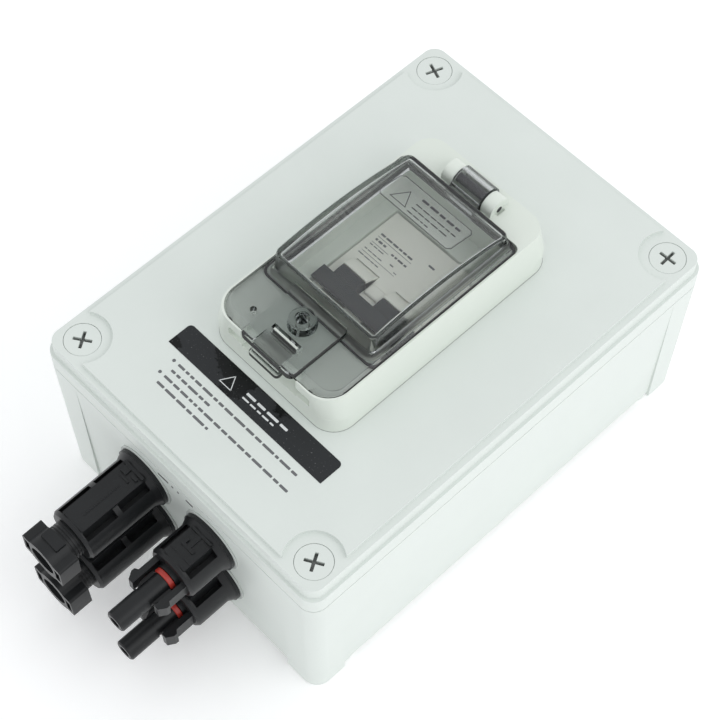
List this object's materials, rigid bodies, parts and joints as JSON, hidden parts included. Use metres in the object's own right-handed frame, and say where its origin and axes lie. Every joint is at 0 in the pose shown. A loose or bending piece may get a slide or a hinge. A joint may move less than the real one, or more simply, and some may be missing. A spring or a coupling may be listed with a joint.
{
  "type": "dc combiner box",
  "caption": "Screwed plastic enclosure with a smoked hinged window over a rail-mounted dc breaker and panel connectors on one end wall.",
  "frame": {"origin": "centre of the wall-side (back) face of the enclosure, at the plane its four feet rest on", "axes": "+Z out of the lid, +Y towards the window cover's hinge, connectors leave through the -Y end wall, X across the enclosure"},
  "size_m": [0.125, 0.2175, 0.1019],
  "materials": {
    "enclosure_plastic": "fine satin",
    "frame_plastic": "semi gloss",
    "breaker_plastic": "satin",
    "zinc_steel": "zinc plated",
    "brass": "plain",
    "copper": "enamelled wire",
    "connector_plastic": "fine satin",
    "handle_plastic": "satin",
    "flange_washer": "plain",
    "red_seal": "silicone",
    "dark_seal": "foam",
    "notice_film": "glossy film",
    "clear_film": "glossy film",
    "smoked_window": "glossy",
    "clip_plastic": "satin",
    "red_jacket": "cable jacket",
    "black_jacket": "cable jacket"
  },
  "bodies": {
    "enclosure": {"base_box": "enclosure_plastic", "din_rail": "zinc_steel", "din_rail_screws": "zinc_steel", "left_pole_case": "breaker_plastic", "right_pole_case": "breaker_plastic", "breaker_rivets": "zinc_steel", "terminal_clamps": "brass", "terminal_screws": "zinc_steel", "arc_chutes": "zinc_steel", "trip_coils": "copper", "socket_connector_upper": "connector_plastic", "socket_connector_lower": "connector_plastic", "nose_connector_upper": "connector_plastic", "nose_connector_lower": "connector_plastic", "connector_gaskets": "flange_washer", "connector_nuts": "connector_plastic", "nose_seals": "red_seal", "socket_contacts": "brass", "nose_contacts": "brass", "positive_input_cable": "red_jacket", "negative_input_cable": "black_jacket", "positive_output_cable": "red_jacket", "negative_output_cable": "black_jacket"},
    "lid": {"lid": "enclosure_plastic", "lid_gasket": "dark_seal", "window_frame": "frame_plastic", "frame_gasket": "dark_seal", "frame_screws": "zinc_steel", "hinge_pin": "zinc_steel", "notice_label": "notice_film"},
    "lid_screw_front_left": {"lid_screw_front_left": "enclosure_plastic"},
    "lid_screw_front_right": {"lid_screw_front_right": "enclosure_plastic"},
    "lid_screw_rear_left": {"lid_screw_rear_left": "enclosure_plastic"},
    "lid_screw_rear_right": {"lid_screw_rear_right": "enclosure_plastic"},
    "window_cover": {"window_cover": "smoked_window", "cover_seal": "dark_seal", "cover_label": "clear_film"},
    "toggle": {"breaker_toggle": "handle_plastic"},
    "left_rail_clip": {"left_rail_clip": "clip_plastic"},
    "right_rail_clip": {"right_rail_clip": "clip_plastic"}
  },
  "joints": [
    {"name": "lid_lift", "type": "slide", "parent": "enclosure", "child": "lid", "axis": [0, 0, 1], "range_m": [0, 0.09]},
    {"name": "cover_hinge", "type": "hinge", "parent": "lid", "child": "window_cover", "pos_m": [0, 0.0422, 0.0922], "axis": [-1, 0, 0], "range_deg": [0, 120]},
    {"name": "toggle_pivot", "type": "hinge", "parent": "enclosure", "child": "toggle", "pos_m": [0, -0.004, 0.07], "axis": [-1, 0, 0], "range_deg": [0, 60]},
    {"name": "left_clip_slide", "type": "slide", "parent": "enclosure", "child": "left_rail_clip", "axis": [0, -1, 0], "range_m": [0, 0.003]},
    {"name": "right_clip_slide", "type": "slide", "parent": "enclosure", "child": "right_rail_clip", "axis": [0, -1, 0], "range_m": [0, 0.003]},
    {"name": "front_left_screw_turn", "type": "hinge", "parent": "lid", "child": "lid_screw_front_left", "pos_m": [-0.0533, -0.0781, 0.07], "axis": [0, 0, 1], "continuous": true},
    {"name": "front_right_screw_turn", "type": "hinge", "parent": "lid", "child": "lid_screw_front_right", "pos_m": [0.0533, -0.0781, 0.07], "axis": [0, 0, 1], "continuous": true},
    {"name": "rear_left_screw_turn", "type": "hinge", "parent": "lid", "child": "lid_screw_rear_left", "pos_m": [-0.0533, 0.0781, 0.07], "axis": [0, 0, 1], "continuous": true},
    {"name": "rear_right_screw_turn", "type": "hinge", "parent": "lid", "child": "lid_screw_rear_right", "pos_m": [0.0533, 0.0781, 0.07], "axis": [0, 0, 1], "continuous": true}
  ]
}
